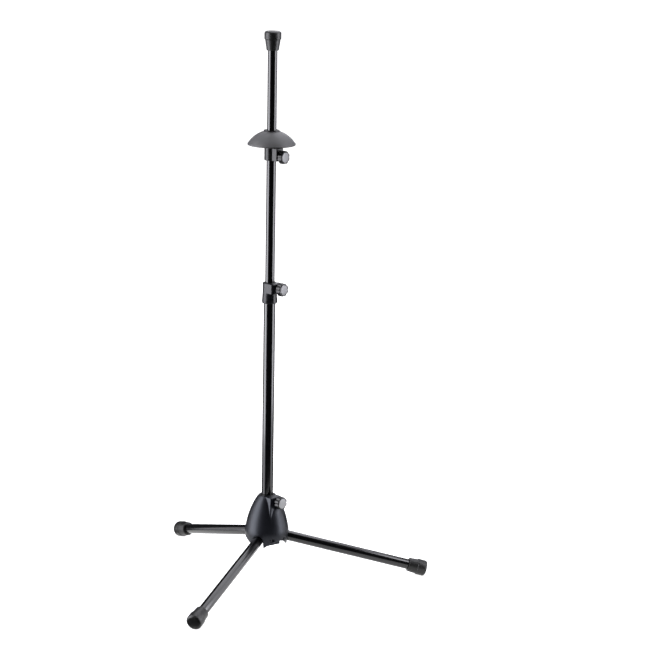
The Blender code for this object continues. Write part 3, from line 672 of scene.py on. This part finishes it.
def build_base(finishes):
    """A bell with a lug, hollow for the pole, with a slot for each leg and a pocket between each two."""
    skin = smooth_curve(BASE_OUTLINE, BASE_CURVE_STEPS)
    solid = turned([(0, BASE_TOP), *skin, (0, BASE_BOTTOM)], BELL_STEPS)
    seat = BASE_BUSH_RADIUS + GAP
    below, above = BASE_BOTTOM - CUT_PAST, BASE_TOP + CUT_PAST
    hollow = [
        (0, below), (CAVITY_RADIUS, below), (CAVITY_RADIUS, CAVITY_TOP),
        (LOWER_BORE, CAVITY_TOP + CAVITY_CONE), (LOWER_BORE, BASE_BUSH_SEAT),
        (seat, BASE_BUSH_SEAT), (seat, above), (0, above),
    ]
    tools = [lug_tool("base"), ("DIFFERENCE", turned(hollow), pole_frame())]
    for azimuth in LEG_AZIMUTHS:
        slot = prism(fold_slot_outline(), -SLOT_HALF_WIDTH, SLOT_HALF_WIDTH, across="Y")
        tunnel = rod(LEG_RADIUS + GAP, TUNNEL_START, TUNNEL_END)
        pocket = prism(pocket_outline(), below, POCKET_TOP)
        scallop = rod(SCALLOP_RADIUS, POCKET_INNER, OUTSIDE_BASE)
        pin_bore = rod(PIN_RADIUS + GAP, -OUTSIDE_BASE, OUTSIDE_BASE, "Y")
        tools += [
            ("DIFFERENCE", slot, pole_frame(azimuth)),
            ("DIFFERENCE", tunnel, leg_frame(azimuth)),
            ("DIFFERENCE", pocket, pole_frame(azimuth + POCKET_TURN)),
            ("DIFFERENCE", scallop, pole_frame(azimuth + POCKET_TURN, SCALLOP_TOP - SCALLOP_RADIUS)),
            ("DIFFERENCE", pin_bore, leg_frame(azimuth)),
        ]
    tools += screw_bores("base")
    add_carved_piece("base_casting", solid, tools, CASTING_VOXEL, "black_casting", "base", finishes)
    build_bush("base_bush", "base", LOWER_BORE, BASE_BUSH_RADIUS, finishes)


# Legs and pole

def cap_outline(cap, mouth, end, bore, bore_end):
    """Half section of a rubber cap: a flaring sleeve, a small ridge, and a drum with a rounded end."""
    ridge = end - cap.drum_length
    return rounded([
        (0, end, 0), (cap.drum_radius, end, cap.rounding), (cap.drum_radius, ridge, CAP_EDGE),
        (cap.neck_radius, ridge - CAP_RIDGE, CAP_EDGE / 2), (cap.mouth_radius, mouth, CAP_EDGE),
        (bore, mouth, 0), (bore, bore_end, 0), (0, bore_end, 0),
    ])


def tube_outline(radius, low, high):
    """Half section of a tube with its cut ends broken."""
    bore = radius - TUBE_WALL
    corners = ((radius, low), (radius, high), (bore, high), (bore, low))
    return rounded([(*corner, TUBE_EDGE) for corner in corners], TUBE_EDGE_STEPS)


def build_leg(number, azimuth, finishes):
    """A leg tube with its foot cap, and the pin that it turns on."""
    place = leg_frame(azimuth)
    body = f"leg_{number}"
    tube = turned(tube_outline(LEG_RADIUS, LEG_START, LEG_END), along="X")
    add_piece(f"leg_tube_{number}", tube, place, "black_tube", body, finishes)

    outline = cap_outline(FOOT_CAP, FOOT_START, FOOT_END, LEG_RADIUS + GAP, FOOT_BORE_END)
    foot = add_piece(f"foot_cap_{number}", turned(outline, along="X"), place, "rubber", body, finishes)
    # The drum is flat where it rests on the floor
    for vert in foot.data.vertices:
        vert.co.z = max(vert.co.z, 0.0)

    pin = turned(rounded([
        (0, -PIN_HALF_LENGTH, 0), (PIN_RADIUS, -PIN_HALF_LENGTH, PIN_EDGE),
        (PIN_RADIUS, PIN_HALF_LENGTH, PIN_EDGE), (0, PIN_HALF_LENGTH, 0),
    ]), PIN_STEPS, "Y")
    add_piece(f"hinge_pin_{number}", pin, hinge_frame(azimuth), "black_steel", "base", finishes)


def build_pole(finishes):
    """The two tubes and the cap on top."""
    tubes = (
        ("lower_tube", LOWER_TUBE_RADIUS, "lower_pole"),
        ("upper_tube", UPPER_TUBE_RADIUS, "upper_pole"),
    )
    for node, radius, body in tubes:
        tube = turned(tube_outline(radius, *heights(node)))
        add_piece(node, tube, pole_frame(), "black_tube", body, finishes)
    cap = turned(cap_outline(TOP_CAP, *heights("top_cap"), UPPER_BORE, TOP_CAP_BORE_END))
    add_piece("top_cap", cap, pole_frame(), "rubber", "upper_pole", finishes)


def build_extension_clamp(finishes):
    """A waisted sleeve with a lug, bored for both tubes and for the bush in its mouth."""
    low, high = heights("extension_clamp")
    sleeve = turned(rounded([
        (0, high, 0), (CLAMP_TOP_RADIUS, high, CLAMP_EDGE),
        (CLAMP_TOP_RADIUS, LUGS["clamp"].bottom, CLAMP_WAIST_ROUNDING),
        (CLAMP_BOTTOM_RADIUS, low + CLAMP_FOOT_HEIGHT, 0), (CLAMP_BOTTOM_RADIUS, low, CLAMP_EDGE),
        (0, low, 0),
    ]))
    seat = CLAMP_BUSH_RADIUS + GAP
    below, above = low - CUT_PAST, high + CUT_PAST
    hollow = [
        (0, below), (LOWER_BORE, below), (LOWER_BORE, CLAMP_STEP), (UPPER_BORE, CLAMP_STEP),
        (UPPER_BORE, CLAMP_BUSH_SEAT), (seat, CLAMP_BUSH_SEAT), (seat, above), (0, above),
    ]
    tools = [lug_tool("clamp"), ("DIFFERENCE", turned(hollow), pole_frame()), *screw_bores("clamp")]
    add_carved_piece("extension_clamp", sleeve, tools, CLAMP_VOXEL, "grey_clamp", "lower_pole", finishes)
    build_bush("clamp_bush", "lower_pole", UPPER_BORE, CLAMP_BUSH_RADIUS, finishes)


# Bell rest

def build_collar(finishes):
    """A stepped sleeve with a lug, which carries the dome."""
    low, high = heights("rest_collar")
    sleeve = turned(rounded([
        (0, high, 0), (COLLAR_NECK_RADIUS, high, COLLAR_EDGE), (COLLAR_NECK_RADIUS, COLLAR_SHOULDER, 0),
        (COLLAR_RADIUS, COLLAR_SHOULDER, COLLAR_EDGE), (COLLAR_RADIUS, low, COLLAR_EDGE), (0, low, 0),
    ]))
    bore = rod(UPPER_BORE, low - CUT_PAST, high + CUT_PAST, "Z")
    tools = [lug_tool("rest"), ("DIFFERENCE", bore, pole_frame()), *screw_bores("rest")]
    add_carved_piece("rest_collar", sleeve, tools, CLAMP_VOXEL, "black_plastic", "rest_carriage", finishes)


def build_dome(finishes):
    """A thin shell with a hub round the collar's neck and a small rounded band at its rim."""
    centre = (0, DOME_CENTRE)
    rim, _ = heights("bell_rest")
    hub_bore = COLLAR_NECK_RADIUS + GAP
    hub_bottom = COLLAR_SHOULDER + GAP
    inner_radius = DOME_RADIUS - DOME_WALL
    inner_rim = DOME_RIM_RADIUS - DOME_WALL
    lip_reach = DOME_RIM_RADIUS - DOME_LIP
    outer = arc(centre, DOME_RADIUS, angle_at(DOME_RADIUS, DOME_FLAT_RADIUS),
                angle_at(DOME_RADIUS, DOME_RIM_RADIUS - DOME_BAND_DEPTH), DOME_OUTSIDE_STEPS)
    inner = arc(centre, inner_radius, angle_at(inner_radius, inner_rim),
                angle_at(inner_radius, DOME_HUB_RADIUS), DOME_INSIDE_STEPS)
    band = arc((lip_reach, outer[-1][1] - DOME_LIP), DOME_LIP, 90, 0, DOME_LIP_STEPS)
    lip = arc((lip_reach, rim + DOME_LIP), DOME_LIP, 0, -90, DOME_LIP_STEPS)
    section = [
        (hub_bore, outer[0][1]), *outer, *band, *lip, (inner_rim, rim), *inner,
        (DOME_HUB_RADIUS, hub_bottom), (hub_bore, hub_bottom),
    ]
    dome = turned(section, BELL_STEPS)
    add_piece("bell_rest", dome, pole_frame(), "grey_dome", "rest_carriage", finishes)


# Studio

def make_paper(name, glow):
    """A white paper that glows, so that it stays white under the stand."""
    paper = make_finish(name, (0.80, 0.80, 0.80), (0.83, 0.83, 0.83), (0.90, 0.95), mottle=3, grain=60,
                        bump=0.02, specular=0.1)
    shader = paper.node_tree.nodes["Principled BSDF"]
    shader.inputs["Emission Color"].default_value = (1.0, 1.0, 1.0, 1.0)
    shader.inputs["Emission Strength"].default_value = glow
    return paper


def make_floor():
    """The floor that the camera sees, and a disc under the stand that takes its place in reflections and
    in bounced light."""
    mesh = bmesh.new()
    corners = ((-1, -1), (1, -1), (1, 1), (-1, 1))
    mesh.faces.new([mesh.verts.new((x * FLOOR_REACH, y * FLOOR_REACH, 0)) for x, y in corners])
    floor = add_object("floor", mesh, Matrix())
    floor.data.materials.append(make_paper("floor_paper", FLOOR_GLOW))
    floor.visible_glossy = False
    floor.visible_diffuse = False

    disc = rod(CARD_RADIUS, -CARD_DEPTH - CARD_THICKNESS, -CARD_DEPTH, "Z")
    card = add_object("near_floor", disc, Matrix())
    card.data.materials.append(make_paper("near_floor_paper", CARD_GLOW))
    card.visible_camera = False
    card.visible_shadow = False


def add_softbox(name, azimuth, elevation, distance, size, brightness, seen_by_diffuse,
                target_height=LAMP_TARGET_HEIGHT):
    """A rectangular light that faces a target on the pole, given by its direction from there."""
    light = bpy.data.lights.new(name, "AREA")
    light.shape = "RECTANGLE"
    light.size, light.size_y = size
    light.energy = brightness * pi * light.size * light.size_y
    light.color = LAMP_TINT
    lamp = bpy.data.objects.new(name, light)
    bpy.context.scene.collection.objects.link(lamp)
    turn = Matrix.Rotation(radians(azimuth), 4, "Z") @ Matrix.Rotation(-radians(elevation), 4, "Y")
    facing = Matrix.Rotation(pi / 2, 4, "Y") @ Matrix.Rotation(pi / 2, 4, "Z")
    target = Matrix.Translation((POLE_X, 0, target_height))
    lamp.matrix_world = target @ turn @ Matrix.Translation((distance, 0, 0)) @ facing
    lamp.visible_diffuse = seen_by_diffuse
    lamp.visible_camera = False


def light_studio():
    """A dark room with strips at the sides, softboxes overhead and behind, and a broad fill in front."""
    world = bpy.data.worlds.new("studio")
    world.use_nodes = True
    world.node_tree.nodes["Background"].inputs["Color"].default_value = ROOM_COLOUR
    bpy.context.scene.world = world

    for name, azimuth, half_angle, brightness, dimmed_below in STRIPS:
        width = 2 * STRIP_DISTANCE * tan(radians(half_angle))
        parts = ((dimmed_below, STRIP_TOP, brightness), (STRIP_BOTTOM, dimmed_below, brightness * DIM_SHARE))
        for bottom, top, glow in parts:
            size, middle = (width, top - bottom), (bottom + top) / 2
            add_softbox(name, azimuth, 0, STRIP_DISTANCE, size, glow, False, middle)
    for settings in SOFTBOXES:
        add_softbox(*settings)

    fill = bpy.data.lights.new("front_fill", "SUN")
    fill.energy = FRONT_FILL
    fill.angle = FRONT_FILL_ANGLE
    lamp = bpy.data.objects.new("front_fill", fill)
    lamp.rotation_euler = FRONT_FILL_TURN
    lamp.visible_glossy = False
    bpy.context.scene.collection.objects.link(lamp)


def place_camera():
    """The camera where the photograph was taken from."""
    lens = bpy.data.cameras.new("camera")
    lens.lens = CAMERA_LENS
    lens.sensor_width = SENSOR_WIDTH
    lens.clip_end = CAMERA_FAR
    camera = bpy.data.objects.new("camera", lens)
    bpy.context.scene.collection.objects.link(camera)
    turn = Matrix.Rotation(-CAMERA_HEADING, 4, "Z") @ Matrix.Rotation(pi / 2 - CAMERA_PITCH, 4, "X")
    camera.matrix_world = Matrix.Translation(CAMERA_PLACE) @ turn @ Matrix.Rotation(CAMERA_ROLL, 4, "Z")
    bpy.context.scene.camera = camera
    bpy.context.scene.view_settings.view_transform = "Standard"


def main():
    """Builds everything."""
    finishes = make_finishes()
    dress_cad_nodes(finishes)
    build_base(finishes)
    for number, azimuth in enumerate(LEG_AZIMUTHS, 1):
        build_leg(number, azimuth, finishes)
    build_pole(finishes)
    build_extension_clamp(finishes)
    build_collar(finishes)
    build_dome(finishes)
    build_bush("rest_ring", "rest_carriage", UPPER_BORE, REST_RING_RADIUS, finishes)
    for name in SCREWS:
        build_thumb_screw(name, finishes)
    make_floor()
    light_studio()
    place_camera()


main()
